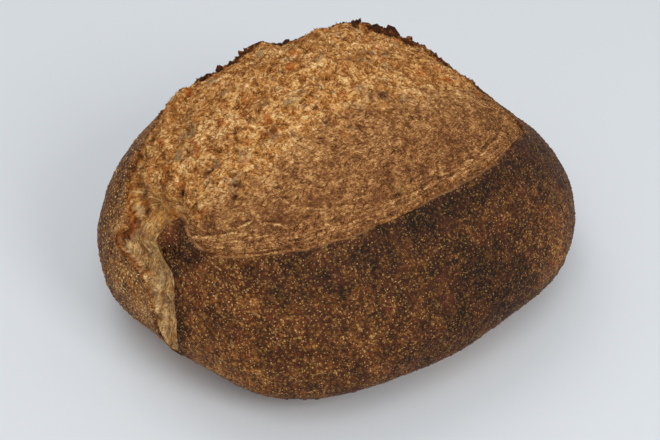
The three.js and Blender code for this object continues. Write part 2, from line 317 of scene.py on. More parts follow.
def normal_of_form(way):
    step = 1e-3
    side = np.stack([way[..., 1], -way[..., 0], 0 * way[..., 0]], -1)
    flat = np.linalg.norm(side, axis=-1, keepdims=True)
    side = np.where(flat > 1e-6, side / np.maximum(flat, 1e-6), [1.0, 0, 0])
    up = np.cross(side, way)
    point = form(way)

    def along(tangent):
        moved = way + tangent * step
        return form(moved / np.linalg.norm(moved, axis=-1, keepdims=True)) - point

    normal = np.cross(along(side), along(up))
    normal /= np.linalg.norm(normal, axis=-1, keepdims=True)
    return normal * np.sign(np.sum(normal * way, -1, keepdims=True))


def per_degree(polar):
    """Millimetres round the loaf to a degree of azimuth."""
    return np.sin(np.radians(polar)) * DEGREE


def inside_slash(polar, azimuth, point):
    """Millimetres inside the slash's rim, or out on the crust where it is negative."""
    rise = (slash_rim(azimuth + 1) - slash_rim(azimuth - 1)) * DEGREE / 2
    slant = rise / per_degree(np.clip(polar, 15, 150))
    edge = (slash_rim(azimuth) - polar) * DEGREE / np.hypot(1, slant)
    return edge + 1.5 * swell(point, 16, 1)


def tear_waver(point):
    return 2 * swell(point, 14, 2)


def inside_tear(polar, azimuth, point):
    """Millimetres inside the tear at the left end, or outside it where it is negative."""
    turned = azimuth % 360
    beside = np.minimum(turned - tear_left(polar), tear_right(polar) - turned) * per_degree(polar)
    along = np.minimum(TEAR_FOOT_POLAR - polar, polar - TEAR_TOP_POLAR) * DEGREE
    return np.minimum(beside * TEAR_SLANT, along) + tear_waver(point)


def turn_of(azimuth):
    """Azimuth from 150 on, so that the ear comes in one run."""
    return np.where(azimuth < 150, azimuth + 360, azimuth)


class Place:
    """Where directions from the middle of the loaf come out on it, and what lies there."""

    def __init__(self, way):
        self.way = way
        self.point = form(way)
        self.polar = np.degrees(np.arccos(np.clip(way[..., 2], -1, 1)))
        azimuth = np.degrees(np.arctan2(way[..., 1], way[..., 0]))
        self.slash = inside_slash(self.polar, azimuth, self.point)
        self.tear = inside_tear(self.polar, azimuth, self.point)
        self.open = np.maximum(self.slash, self.tear)
        self.in_tear = smoothstep(self.tear - self.slash, -6, 6)
        self.turned = azimuth % 360
        self.turn = turn_of(azimuth)
        self.ear = between(self.turn, *EAR_SPAN)

    def moved(self, height):
        """The points, moved off the form by a height, in metres in the loaf's frame."""
        height = height - base_tuck(self.turned) * smoothstep(self.polar, *BASE_TUCK_FROM)
        point = self.point + normal_of_form(self.way) * height[..., None] - MIDDLE
        point[..., 2] = np.maximum(point[..., 2], 0)
        return point / 1000


def crust_height(at):
    nose = bell(at.polar - 60, 12) * bell(at.turned - 180, 14)
    edge = lerp(lip_rise(at.turn), NOSE_RISE, nose) * bell(at.open, EDGE_WIDTH)
    fall = at.ear * ear_fall(at.turn) * between(-at.open, *EAR_FALL_REACH)
    belly = 1.3 * swell(at.point, 46, 3) + 0.5 * swell(at.point, 15, 4)
    ragged = at.ear * bell(at.open, 3) * (1.3 * swell(at.point, 4.5, 11) + 0.8 * swell(at.point, 2, 12))
    return edge + at.ear * ear_lift(at.turn) * bell(at.open, EAR_CREST_WIDTH) - fall + belly + ragged


def ledge_lines(at):
    """The folds that run along the lip in the stretched crumb: the crest of each, and its groove."""
    crest, groove = 0, 0
    for azimuths, distances in LEDGES:
        middle = np.interp(at.turn, azimuths, distances) + 1.1 * swell(at.point, 6, 17)
        there = between(at.turn, azimuths[0], azimuths[0] + 4, azimuths[-1] - 4, azimuths[-1])
        there = there * (0.6 + swell(at.point, 5, 18))
        crest = np.maximum(crest, there * bell(at.slash - middle, 0.7))
        groove = np.maximum(groove, there * bell(at.slash - middle - 1.5, 0.9))
    return crest, groove


def crumb_height(at):
    """Height of the torn crumb over the form without its fine grain, and how much shade is painted into its
    holes.
    """
    point = at.point
    lean = point[..., 1] + 0.12 * point[..., 0] + 9 * swell(point, 30, 5)
    crags = 0.25 + 0.75 * smoothstep(lean, -26, 6)
    ledges = 0.8 * np.sin(at.slash / 2.1 + 2.2 * swell(point, 36, 6)) * bell(at.slash - 10, 13)
    torn = 2.6 * swell(point, 19, 7) + 1.5 * swell(point, 9.5, 8)
    frayed = 2.4 * swell(point, 7, 13) + 1.8 * swell(point, 3, 14)
    holes, dark = 0, 0
    for azimuth, polar, radius, depth, shade_strength in HOLES:
        away = np.degrees(np.arccos(np.clip(at.way @ direction(polar, azimuth), -1, 1))) * DEGREE
        holes = np.maximum(holes, depth * bell(np.maximum(away + frayed, 0), radius))
        # Shade painted into each of the holes, spread a little wider than its dip
        dark = np.maximum(dark, shade_strength * bell(np.maximum(away + frayed, 0), 1.3 * radius))
    bloom = (crags * torn + (1 - crags) * ledges - holes - LIP_DEPTH * (1 - at.ear) * bell(at.slash, 14)
             - EAR_DEPTH * at.ear * bell(at.slash, EAR_REACH)
             + at.ear * ear_lift(at.turn) * bell(at.slash, EAR_DRAW))
    rough = 1.2 * torn - holes - TEAR_DEPTH * smoothstep(at.tear, -1, 7)
    return lerp(bloom, rough, at.in_tear), dark


def strip(outer, inner, closed=True):
    """Triangles between two rows of vertices that run the same way. Closed rows come back to their
    start; a row of one vertex is a pole."""
    outer, inner = np.atleast_1d(outer), np.atleast_1d(inner)
    m, n = (len(outer), len(inner)) if closed else (len(outer) - 1, len(inner) - 1)
    m, n = (m if len(outer) > 1 else 0), (n if len(inner) > 1 else 0)
    places = np.concatenate([(np.arange(m) + 0.5) / max(m, 1), (np.arange(n) + 0.5) / max(n, 1) + 1e-9])
    from_outer = np.argsort(places, kind="stable") < m
    i = np.cumsum(from_outer) - from_outer
    j = np.cumsum(~from_outer) - ~from_outer
    third = np.where(from_outer, outer[(i + 1) % len(outer)], inner[(j + 1) % len(inner)])
    return np.stack([outer[i % len(outer)], third, inner[j % len(inner)]], -1)


def numbered(rows):
    """The numbers of the vertices in each of several rows."""
    ends = np.cumsum([len(row) for row in rows])
    return np.split(np.arange(ends[-1]), ends[:-1])


def set_mark(mesh, name, values):
    """Keep a number or a vector for each vertex under a name."""
    kind, field = ("FLOAT", "value") if np.ndim(values) == 1 else ("FLOAT_VECTOR", "vector")
    layer = mesh.attributes.new(name, kind, "POINT")
    layer.data.foreach_set(field, np.asarray(values, np.float32).ravel())


def mesh_object(name, vertices, triangles, flat=False, **marks):
    """A mesh object, smooth unless flat, with a number or a vector for each vertex under each mark."""
    mesh = bpy.data.meshes.new(name)
    mesh.from_pydata(vertices, [], triangles, shade_flat=flat)
    for mark, values in marks.items():
        set_mark(mesh, mark, values)
    piece = bpy.data.objects.new(name, mesh)
    scene.collection.objects.link(piece)
    return piece


def closed_skin(name, columns, points, under_columns, thickness, **marks):
    """A thin closed skin: points over fine columns of directions, and a coarse underside."""
    under = [Place(column).moved(np.full(len(column), -thickness)) for column in under_columns]
    rows = numbered(columns + under)
    sheets, rims = [], []
    for side in (rows[:len(columns)], rows[len(columns):]):
        sheets.append(np.concatenate([strip(b, a, closed=False) for a, b in zip(side, side[1:])]))
        rims.append(np.concatenate([side[0], [row[-1] for row in side[1:-1]], side[-1][::-1],
                                    [row[0] for row in side[-2:0:-1]]]))
    triangles = np.concatenate([sheets[0], sheets[1][:, ::-1], strip(rims[1], rims[0])])
    vertices = np.concatenate([points] + under)
    for mark, values in marks.items():
        spare = np.zeros((len(vertices) - len(points),) + values.shape[1:])
        marks[mark] = np.concatenate([values, spare])
    return mesh_object(name, vertices, triangles, **marks)


def length_along(points, weight=1):
    """Length along a row of points up to each of them, with each step times its weight."""
    return np.concatenate([[0], np.cumsum(np.linalg.norm(np.diff(points, axis=0), axis=-1) * weight)])


def closeness(azimuth):
    """How close the body's columns stand."""
    return (0.55 + 0.75 * bell(azimuth - 60, 85) + 0.75 * bell(azimuth - 400, 85)
            + 1.0 * bell(azimuth - 165, 30))


def even_azimuth(polar_at):
    """Azimuth by the share of the way round a closed curve, in steps as close as closeness says."""
    azimuth = np.linspace(0, 360, 1441)
    length = length_along(form(direction(polar_at(azimuth), azimuth)), closeness(azimuth[1:]))
    return lambda share: np.interp(share, length / length[-1], azimuth)


def polar_inside(distance, azimuth):
    """Polar angle of the place on each azimuth that lies a distance inside the slash's rim."""
    polar = slash_rim(azimuth) - distance / DEGREE
    for _ in range(5):
        miss = inside_slash(polar, azimuth, form(direction(polar, azimuth))) - distance
        polar = polar + miss / DEGREE
    return polar


def graded(length, near, far, reach):
    """Distances from 0 to length, in steps that grow from near to far over the reach."""
    places = [0.0]
    while places[-1] < length:
        places.append(places[-1] + lerp(near, far, min(places[-1] / reach, 1)))
    return np.array(places) * length / places[-1]


FLOOR_POLAR = 90 + 0.1 * np.argmax(form(direction(90 + 0.1 * np.arange(900), 0.0))[:, 2] <= 0)
RIM_POLAR = 51
SIDE_AZIMUTH = 255


def rows_down(near, far, reach, end_polar):
    """Distances from the rim down the side, evenly laid on the loaf, and the last one."""
    last = (end_polar - RIM_POLAR) * DEGREE
    distance = np.linspace(0, last, 400)
    length = length_along(form(direction(RIM_POLAR + distance / DEGREE, SIDE_AZIMUTH + 0 * distance)))
    return np.interp(graded(length[-1], near, far, reach), length, distance), last


def polar_down(distance, last, azimuth, end_polar):
    """Polar angle of a row: along the wavering rim at first, then evenly towards the floor."""
    share = np.clip(distance / last, 0, 1)
    plain = lerp(slash_rim(azimuth), end_polar, share)
    return lerp(polar_inside(-distance, azimuth), plain, smoothstep(share, 0.03, 0.22))


# The front of the crust is laid over the body as its own fine skin, between these borders
FRONT_END = 345
FRONT_FLOOR_POLAR = 147
DIP = 0.5
SINK = 1.6


def front_cover(at):
    """Millimetres inside the borders of the front skin, as far as the body has to give way to it."""
    lap = per_degree(at.polar)
    left, right = (at.turned - tear_right(at.polar)) * lap, (FRONT_END - at.turned) * lap
    low = (FRONT_FLOOR_POLAR - at.polar) * DEGREE
    return np.minimum(np.minimum(left, right), np.minimum(low, -at.open))


def baked(at):
    """How far the crust is baked: 0 golden, 0.5 brown, 1 burnt."""
    point, turned = at.point, at.turned
    cloud = 0.15 * swell(point, 34, 41) + 0.12 * swell(point, 13, 42) + 0.1 * swell(point, 6, 44)
    burnt_band = bell(at.open + 8, 10) * between(turned, 238, 256, 314, 336)
    tear_edge = bell(at.open, 5) * bell(turned - 191, 8) * smoothstep(at.polar, 54, 62)
    beyond_tear = bell(at.open, 10) * (1 - smoothstep(turned, 178, 186)) * smoothstep(at.polar, 34, 46)
    ear_edge = at.ear * bell(at.open, 2.4) * (0.3 + swell(point, 7, 43))
    foot = smoothstep(at.polar, 96, 122)
    bake = (0.5 + cloud + 0.26 * burnt_band + 0.26 * tear_edge - 0.16 * beyond_tear + 0.2 * ear_edge
            - 0.34 * foot - 0.22 * bell(turned - 166, 18))
    for more, azimuth, polar, width, height in BAKE_SPOTS:
        bake = bake + more * bell(turned - azimuth, width) * bell(at.polar - polar, height)
    return np.clip(bake, 0, 1)


def brim(at):
    """The thin pale line along the lip, at the crust's very edge."""
    return ((1 - smoothstep(at.turn, 290, 318)) * bell(at.open + 0.1, 0.4) * (at.slash > at.tear)
            * np.clip(0.6 + 1.5 * swell(at.point, 9, 45), 0, 1))


def charring(at):
    """Where the ear burnt: along its edge in clumps, the largest at the top of the loaf."""
    clumps = np.max([share * bell(at.turn - turn, width) for turn, width, share in CHARRED], axis=0)
    patchy = np.clip(0.75 + 1.8 * swell(at.point, 8, 46), 0, 1)
    return np.minimum(at.ear * bell(at.open - 0.5, 1.6 + 2.6 * clumps) * patchy * (0.6 + clumps), 1)


def crust_grain(at):
    """The crust's blisters and grains: their height, and what the crust's finish goes by."""
    near, tone = grains(at.point, 1.9, 21)
    small = (1 - smoothstep(near, 0.18, 0.5)) * (tone > 0.3)
    wide, wide_tone = grains(at.point, 6.5, 22)
    blister = (1 - smoothstep(wide, 0.12, 0.36)) * (wide_tone > 0.72)
    height = (0.3 * small + 0.45 * blister + 0.22 * swell(at.point, 3, 23)
              + 0.12 * swell(at.point, 1.2, 24))
    return height, {"grain": small, "blister": blister, "tone": tone, "bake": baked(at), "brim": brim(at)}


BLISTER_CLEAR = (0.003, 0.006)


def blister_room(at, points):
    """Where blisters stand: on the crust, clear of the slash and of the floor."""
    return smoothstep(-at.open, 0.6, 2.2) * smoothstep(points[:, 2], *BLISTER_CLEAR)


BODY_EDGES = 640
BODY_GIRTH_EDGES = 600
BODY_FLOOR_EDGES = 300
GIRTH_SHARE = 0.6
BLOOM_MIDDLE = direction(17.0, 285.0)
UNDER_CRUMB = 3.5
BODY_INNER_ROWS = [-2.0, -1.3, -0.8, -0.4]
SOLE_FROM = (148, 153)

rim_azimuth = even_azimuth(slash_rim)
floor_azimuth = even_azimuth(lambda azimuth: FLOOR_POLAR + 0 * azimuth)
rings = [BLOOM_MIDDLE[None]]
for share in np.linspace(0.08, 0.95, 16):
    edges = int(BODY_EDGES * share)
    azimuth = rim_azimuth(np.arange(edges) / edges)
    way = lerp(BLOOM_MIDDLE, direction(polar_inside(2.0, azimuth), azimuth), share)
    rings.append(way / np.linalg.norm(way, axis=-1, keepdims=True))
rows, last = rows_down(0.4, 1.0, 9, FLOOR_POLAR)
for distance in np.concatenate([BODY_INNER_ROWS, rows]):
    share = max(distance / last, 0)
    edges = int(np.interp(share, (0, GIRTH_SHARE, 1), (BODY_EDGES, BODY_GIRTH_EDGES, BODY_FLOOR_EDGES)))
    steps = np.arange(edges) / edges
    azimuth = lerp(rim_azimuth(steps), floor_azimuth(steps), share)
    rings.append(direction(polar_down(distance, last, azimuth, FLOOR_POLAR), azimuth))
for share in np.linspace(0.06, 0.96, 14):
    edges = int(lerp(BODY_FLOOR_EDGES, 8, share))
    azimuth = floor_azimuth(np.arange(edges) / edges)
    rings.append(direction(lerp(FLOOR_POLAR, 180, share), azimuth))
rings.append(direction(180.0, 0.0)[None])

at = Place(np.concatenate(rings))
grain_height, marks = crust_grain(at)
crust = crust_height(at) + grain_height * (1 - 0.6 * smoothstep(at.polar, 148, 156))
cover = front_cover(at)
crust -= DIP * smoothstep(cover, 0, 3) + SINK * smoothstep(cover, 3, 10)
height = lerp(crust, crumb_height(at)[0] - UNDER_CRUMB, smoothstep(at.open, -STEP_WIDTH, STEP_WIDTH))
points = at.moved(height)
rings = numbered(rings)
body = mesh_object("loaf_body", points, np.concatenate([strip(b, a) for a, b in zip(rings, rings[1:])]),
                   **marks, sole=smoothstep(at.polar, *SOLE_FROM),
                   blistered=blister_room(at, points) * (1 - smoothstep(cover, -2, 0)),
                   charred=charring(at) * smoothstep(at.open, -5, -1))


def paint(colour):
    """A linear colour out of an ordinary screen colour such as 7a4b2c. A socket stays as it is."""
    if isinstance(colour, bpy.types.NodeSocket):
        return colour
    shares = [int(colour[i:i + 2], 16) / 255 for i in (0, 2, 4)]
    return [s / 12.92 if s <= 0.04045 else ((s + 0.055) / 1.055) ** 2.4 for s in shares] + [1]


def plug(node, sockets):
    """Set a node's sockets, each to a value or to what comes out of another node."""
    for name, value in sockets.items():
        if isinstance(value, bpy.types.NodeSocket):
            node.id_data.links.new(value, node.inputs[name])
        else:
            node.inputs[name].default_value = value


def new_node(tree, kind, sockets, output=0, **settings):
    """One output of a new node."""
    node = tree.nodes.new(kind)
    for name, value in settings.items():
        setattr(node, name, value)
    plug(node, sockets)
    return node.outputs[output]


class Finish:
    """A material built node by node. What it adds up is (socket, weight) terms and bare numbers."""

    def __init__(self, name):
        self.material = bpy.data.materials.new(name)
        self.material.use_nodes = True
        self.place = self.node("ShaderNodeTexCoord", {}, "Object")

    def node(self, *given, **settings):
        return new_node(self.material.node_tree, *given, **settings)

    def marks(self, names):
        return [self.node("ShaderNodeAttribute", {}, "Fac", attribute_name=name) for name in names.split()]

    def sum(self, *terms):
        total = 0
        for term in terms:
            value, weight = term if isinstance(term, tuple) else (1, term)
            total = self.node("ShaderNodeMath", {0: value, 1: weight, 2: total}, operation="MULTIPLY_ADD")
        return total

    def times(self, first, second):
        return self.node("ShaderNodeMath", {0: first, 1: second}, operation="MULTIPLY")

    def noise(self, size, detail=2, roughness=0.5, vector=None, curl=0, seed=0):
        """Noise about 0, with swells of `size` metres."""
        vector = vector or self.place
        if seed:
            vector = self.node("ShaderNodeVectorMath", {0: vector, 1: (seed, 0, seed)})
        made = self.node("ShaderNodeTexNoise", {"Vector": vector, "Scale": 1 / size, "Detail": detail,
                                                "Roughness": roughness, "Distortion": curl}, "Fac")
        return self.sum((made, 1), -0.5)

    def specks(self, size, radius, edge, share):
        """Uneven specks, 1 in the middle, on a share of randomly strewn places, and their tones."""
        bend = self.node("ShaderNodeTexNoise", {"Vector": self.place, "Scale": 1.4 / size, "Detail": 1},
                         "Color")
        bent = self.node("ShaderNodeVectorMath", {0: bend, 1: (0.9 * size,) * 3, 2: self.place},
                         operation="MULTIPLY_ADD")
        away = self.node("ShaderNodeTexVoronoi", {"Vector": bent, "Scale": 1 / size}, "Distance")
        tone = self.node("ShaderNodeSeparateColor", {"Color": away.node.outputs["Color"]}, "Red")
        inside = self.node("ShaderNodeMapRange", {"Value": away, 1: radius - edge, 2: radius + edge,
                                                  3: 1, 4: 0})
        chosen = self.node("ShaderNodeMapRange", {"Value": tone, 1: 0.95 - share, 2: 1.05 - share})
        return self.times(inside, chosen), tone

    def over(self, colour, cover, *terms):
        """A colour with another one over it, as thick as the terms add up to."""
        return self.node("ShaderNodeMix", {0: self.sum(*terms), 6: paint(colour), 7: paint(cover)}, 2,
                         data_type="RGBA")

    def patches(self, colour, *patches):
        """Soft patches over a colour: swell in metres, seed, gain and offset, tint and its strength."""
        for size, seed, gain, offset, tint, strength in patches:
            tinted = self.over(colour, tint, strength)
            colour = self.over(colour, tinted, (self.noise(size, seed=seed), gain), offset)
        return colour

    def ramp(self, stops, *terms):
        """The colour that the terms add up to, between stops."""
        colour = self.node("ShaderNodeValToRGB", {"Fac": self.sum(*terms)}, "Color")
        elements = colour.node.color_ramp.elements
        while len(elements) < len(stops):
            elements.new(0.5)
        for element, (position, stop) in zip(elements, stops.items()):
            element.position = position
            element.color = paint(stop)
        return colour

    def coat(self, colour, roughness, gloss, depth=0, *relief):
        """The finished material, with a relief of so many metres out of the terms."""
        shader = self.material.node_tree.nodes["Principled BSDF"]
        plug(shader, {"Base Color": colour, "Roughness": roughness, "Specular IOR Level": gloss})
        if relief:
            bump = {"Height": self.sum(*relief), "Distance": depth, "Strength": 1}
            plug(shader, {"Normal": self.node("ShaderNodeBump", bump, "Normal")})
        return self.material


CRUST_SPECKS = [
    # spacing, radius and softness in spacings, share of places, strength; colours
    (0.0036, 0.36, 0.16, 0.4, 0.6, {0: "b07a3a", 0.3: "80501f", 0.6: "4e2e14"}),
    (0.0018, 0.34, 0.12, 0.5, 0.65, {0: "d0a25e", 0.3: "9a6e34", 0.6: "5c3c1a"}),
    (0.0011, 0.33, 0.1, 0.45, 0.9, {0: "f2ce90", 0.3: "c2965a", 0.6: "7c5a32"}),
]
CRUST_PATCHES = [(0.011, 3, 3.0, 0.1, "703620", 0.4), (0.004, 4, 5.0, -1.1, "a0641f", 0.5)]


def baked_crust():
    finish = Finish("baked_crust")
    grain, blister, brim, tone, bake, sole = finish.marks("grain blister brim tone bake sole")
    cloudy, patchy = finish.noise(0.015, 3), finish.noise(0.005, 3)
    mottled, fine = finish.noise(0.0021, 2, 0.6), finish.noise(0.0009, 2, 0.6)
    base = finish.ramp({0: "a66a2e", 0.28: "633515", 0.5: "391c0b", 0.7: "241308", 1: "160c06"},
                       (bake, 1), (cloudy, 0.35), (patchy, 0.5), (mottled, 0.7), (fine, 0.7))
    top = finish.ramp({0: "d8aa6a", 0.25: "a87a42", 0.5: "764e28", 0.9: "382413"},
                      (bake, 0.8), (cloudy, 0.3), (tone, -0.6), (fine, 0.7), 0.3)
    colour = finish.over(base, top, (grain, 0.4), (blister, 0.3), (fine, 0.5), -0.08)
    colour = finish.patches(colour, *CRUST_PATCHES)
    for size, radius, edge, share, strength, lights in CRUST_SPECKS:
        speck, speck_tone = finish.specks(size, radius, edge, share)
        light = finish.ramp(lights, (bake, 0.7), (speck_tone, 0.5), (patchy, 0.6), -0.35)
        colour = finish.over(colour, light, (speck, strength))
    colour = finish.over(colour, "bd9060", (brim, 0.8))
    colour = finish.over(colour, "5a3822", (finish.times(sole, finish.sum((mottled, 0.8), 0.6)), 1))
    return finish.coat(colour, 0.55, 0.12, 0.0006, (fine, 0.8), (mottled, 0.8), (speck, 0.5))


body.data.materials.append(baked_crust())
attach(body, "root")
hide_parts("loaf")


# The front of the crust: the same skin again over the side below the lip, laid finely, because
# here the blisters stand close. It starts inside the slash, turns over the lip, follows the
# ragged border of the tear on its left, and dips into the body along its other borders.

FRONT_STEP = 0.71
FRONT_THICKNESS = 7
FRONT_START = 186
FRONT_FOOT_START = 188.4
FRONT_LENGTH = 330
FRONT_INNER_ROWS = [-1.8, -1.2, -0.7, -0.3]
FRONT_UNDER_CRUMB = 3
UNDERSIDE_STEP = 5.0


def front_columns(step, near):
    """Columns of directions from inside the lip down to the floor."""
    rows, last = rows_down(near, step, 5, FRONT_FLOOR_POLAR)
    rows = np.concatenate([FRONT_INNER_ROWS, rows])
    columns = []
    for across in np.linspace(0, 1, int(FRONT_LENGTH / step)):
        azimuth = np.full(len(rows), lerp(FRONT_START, FRONT_END, across))
        for _ in range(3):
            polar = polar_down(rows, last, azimuth, FRONT_FLOOR_POLAR)
            edge = tear_right(polar)
            waver = tear_waver(form(direction(polar, edge))) / TEAR_SLANT * (polar < TEAR_FOOT_POLAR)
            azimuth = lerp(edge + (waver - 1.5) / per_degree(polar), FRONT_END, across)
        columns.append(direction(polar, azimuth))
    return columns


columns = front_columns(FRONT_STEP, 0.35)
at = Place(np.concatenate(columns))
grain_height, marks = crust_grain(at)
lap = per_degree(at.polar)
feather = np.minimum((FRONT_END - at.turned) * lap, (FRONT_FLOOR_POLAR - at.polar) * DEGREE)
feather = np.minimum(feather, np.where(at.polar > 90, (at.turned - FRONT_FOOT_START) * lap, 9))
crust = crust_height(at) + grain_height - DIP * 2 * (1 - smoothstep(feather, 0, 3))
height = lerp(crust, crumb_height(at)[0] - FRONT_UNDER_CRUMB,
              smoothstep(at.open, -STEP_WIDTH, STEP_WIDTH + 0.4))
points = at.moved(height)
front = closed_skin("front_crust", columns, points, front_columns(UNDERSIDE_STEP, UNDERSIDE_STEP),
                    FRONT_THICKNESS, **marks, blistered=blister_room(at, points) * smoothstep(feather, 0, 2))
front.data.materials.append(body.data.materials[0])
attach(front, "root")
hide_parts("loaf")


# The blisters: small bubbles that rose in the crust as it baked, cream where they are fine and
# golden or ruddy where they are large. They are low domes of the crust itself, strewn over all of
# it but the underside, each half sunk in its skin.

STREWING_INPUTS = {"Ground": "Geometry", "Spacing": "Float", "Smallest": "Vector", "Largest": "Vector",
                   "Swing": "Vector", "Ragged": "Float", "Material": "Material"}
BENDS_PER_METRE = 700


def strewing(name, share, flow, shape, shape_sockets, smooth, seed):
    """A Geometry Nodes tree that strews a small shape over a skin. The share mark says where it may
    stand, the size mark how large it is and the flow mark, if any, which way it lies."""
    tree = bpy.data.node_groups.new(name, "GeometryNodeTree")
    for socket, kind in STREWING_INPUTS.items():
        tree.interface.new_socket(name=socket, in_out="INPUT", socket_type="NodeSocket" + kind)
    tree.interface.new_socket(name="Pieces", in_out="OUTPUT", socket_type="NodeSocketGeometry")
    given = tree.nodes.new("NodeGroupInput").outputs

    def node(*what, **settings):
        return new_node(tree, *what, **settings)

    def maths(operation, *terms):
        return node("ShaderNodeMath", dict(enumerate(terms)), operation=operation)

    def scaled(vector, share):
        return node("ShaderNodeVectorMath", {0: vector, "Scale": share}, operation="SCALE")

    def mark(mark_name, kind="FLOAT"):
        return node("GeometryNodeInputNamedAttribute", {"Name": mark_name}, data_type=kind)

    def any_from(least, most, seed):
        return node("FunctionNodeRandomValue", {0: least, 1: most, "Seed": seed}, data_type="FLOAT_VECTOR")

    # Places, each with a random tone of its own: fine ones have a low tone, large ones a high one
    crowd = maths("DIVIDE", 3, maths("POWER", given["Spacing"], 2))
    points = node("GeometryNodeDistributePointsOnFaces",
                  {"Mesh": given["Ground"], "Distance Min": given["Spacing"], "Density Max": crowd,
                   "Density Factor": mark(share), "Seed": seed}, "Points", distribute_method="POISSON")
    rotation = points.node.outputs["Rotation"]
    tone = node("FunctionNodeRandomValue", {2: 0, 3: 1, "Seed": seed}, 1, data_type="FLOAT")
    points = node("GeometryNodeStoreNamedAttribute", {"Geometry": points, "Name": "tone", "Value": tone})

    # How each lies, and its size
    if flow:
        rotation = node("FunctionNodeAlignRotationToVector",
                        {"Rotation": rotation, "Vector": mark(flow, "FLOAT_VECTOR")},
                        axis="X", pivot_axis="Z")
    swing = any_from(scaled(given["Swing"], -1), given["Swing"], seed + 1)
    swing = node("FunctionNodeEulerToRotation", {"Euler": swing})
    rotation = node("FunctionNodeRotateRotation", {"Rotation": rotation, "Rotate By": swing},
                    rotation_space="LOCAL")
    growth = maths("MULTIPLY_ADD", maths("POWER", tone, 2), 0.8, 0.5)
    size = any_from(given["Smallest"], given["Largest"], seed + 2)
    size = scaled(size, maths("MULTIPLY", growth, mark("size")))

    # The shape, with the height in it as its top mark, then the pieces
    height = node("ShaderNodeSeparateXYZ", {0: node("GeometryNodeInputPosition", {})}, 2)
    shape = node("GeometryNodeStoreNamedAttribute",
                 {"Geometry": node(shape, shape_sockets, "Mesh"), "Name": "top", "Value": height})
    pieces = node("GeometryNodeInstanceOnPoints",
                  {"Points": points, "Instance": shape, "Rotation": rotation, "Scale": size})
    pieces = node("GeometryNodeRealizeInstances", {"Geometry": pieces})
    bend = node("ShaderNodeTexNoise", {"Scale": BENDS_PER_METRE, "Detail": 0}, "Color")
    bend = node("ShaderNodeVectorMath", {0: bend, 1: (0.5, 0.5, 0.5)}, operation="SUBTRACT")
    pieces = node("GeometryNodeSetPosition", {"Geometry": pieces, "Offset": scaled(bend, given["Ragged"])})
    pieces = node("GeometryNodeSetShadeSmooth", {"Geometry": pieces, "Shade Smooth": smooth})
    pieces = node("GeometryNodeSetMaterial", {"Geometry": pieces, "Material": given["Material"]})
    tree.links.new(pieces, tree.nodes.new("NodeGroupOutput").inputs[0])
    return tree


def mark_of(mesh, name):
    """A mark of a mesh, a number or a vector for each vertex, or zeros where it has none."""
    if name not in mesh.attributes:
        return np.zeros(len(mesh.vertices))
    layer = mesh.attributes[name]
    field, width = ("vector", 3) if layer.data_type == "FLOAT_VECTOR" else ("value", 1)
    values = np.empty(len(mesh.vertices) * width, np.float32)
    layer.data.foreach_get(field, values)
    return values.reshape(-1, 3) if width == 3 else values


def strewn(name, pieces, marks, tree, size=lambda mesh: 1.0, **inputs):
    """The plain mesh that a strewing tree makes over the skins of some pieces, with their marks."""
    meshes = [piece.data for piece in pieces]
    places = np.concatenate([mark_of(mesh, "position") for mesh in meshes])
    values = {mark: np.concatenate([mark_of(mesh, mark) for mesh in meshes]) for mark in marks.split()}
    values["size"] = np.concatenate([size(mesh) * np.ones(len(mesh.vertices)) for mesh in meshes])
    triangles, count = [], 0
    for mesh in meshes:
        corners = np.empty(len(mesh.loops), np.int32)
        mesh.loops.foreach_get("vertex_index", corners)
        triangles.append(corners.reshape(-1, 3) + count)
        count += len(mesh.vertices)

    # Flat shaded, so that each small shape stands square on its own face
    piece = mesh_object(name, places, np.concatenate(triangles), flat=True, **values)
    ground = piece.data
    modifier = piece.modifiers.new("strewing", "NODES")
    modifier.node_group = tree
    for item in tree.interface.items_tree:
        if item.name in inputs:
            modifier[item.identifier] = inputs[item.name]
    view = bpy.context.evaluated_depsgraph_get()
    mesh = bpy.data.meshes.new_from_object(piece.evaluated_get(view), preserve_all_data_layers=True,
                                           depsgraph=view)
    piece.modifiers.clear()
    piece.data = mesh
    bpy.data.meshes.remove(ground)
    mesh.name = name
    return piece


def blister_crust():
    finish = Finish("blistered_crust")
    tone, bake, top = finish.marks("tone bake top")
    patchy, fine = finish.noise(0.007), finish.noise(0.0012, 2, 0.6)
    colour = finish.ramp({0: "e8c488", 0.25: "b88a4a", 0.5: "8a5a2a", 0.8: "6a4020", 1: "54301a"},
                         (tone, 0.5), (patchy, 1.2), (fine, 0.8), (bake, 0.7), -0.28)
    # Painted shade at the foot of each blister, where it meets the crust
    colour = finish.over(colour, "4a2a14", (top, -4), (fine, 0.6), 0.35)
    return finish.coat(colour, 0.5, 0.2, 0.0003, (fine, 1))


dome = {"Segments": 6, "Rings": 2, "Radius": 1}
blisters = strewn("blisters", (body, front), "blistered bake",
                  strewing("blistering", "blistered", None, "GeometryNodeMeshUVSphere", dome, True, 4),
                  Spacing=0.0021, Smallest=(0.0004, 0.00035, 0.00015), Largest=(0.0015, 0.0011, 0.00038),
                  Swing=(0.12, 0.12, 3.14), Ragged=0.0003, Material=blister_crust())
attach(blisters, "root")
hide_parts("loaf")


# The crumb: where the slash burst open in the oven the bare inside of the dough baked into a
# skin of its own. It is torn and pitted behind, combed smooth towards the lip, and runs down
# the tear at the left end. It tucks in under the crust all round.

CRUMB_STEP = 0.55
CRUMB_THICKNESS = 9
UNDERCRUMB_STEP = 6.0
TUCK = 2.4
TEAR_TUCK = 3.2
NOSE = (54.5, 184)
TEAR_TOP = (57, 153)
TIP_POLAR = 93
RIGHT_END = 327
TEAR_RUN = 78
SLASH_RUN = 232


def rim_border(start, end, count):
    """Directions spread evenly along the slash's rim, tucked under it."""
    azimuth = np.linspace(start, end, 600)
    length = length_along(form(direction(polar_inside(-TUCK, azimuth), azimuth)))
    azimuth = np.interp(np.linspace(0, length[-1], count), length, azimuth)
    return direction(polar_inside(-TUCK, azimuth), azimuth)


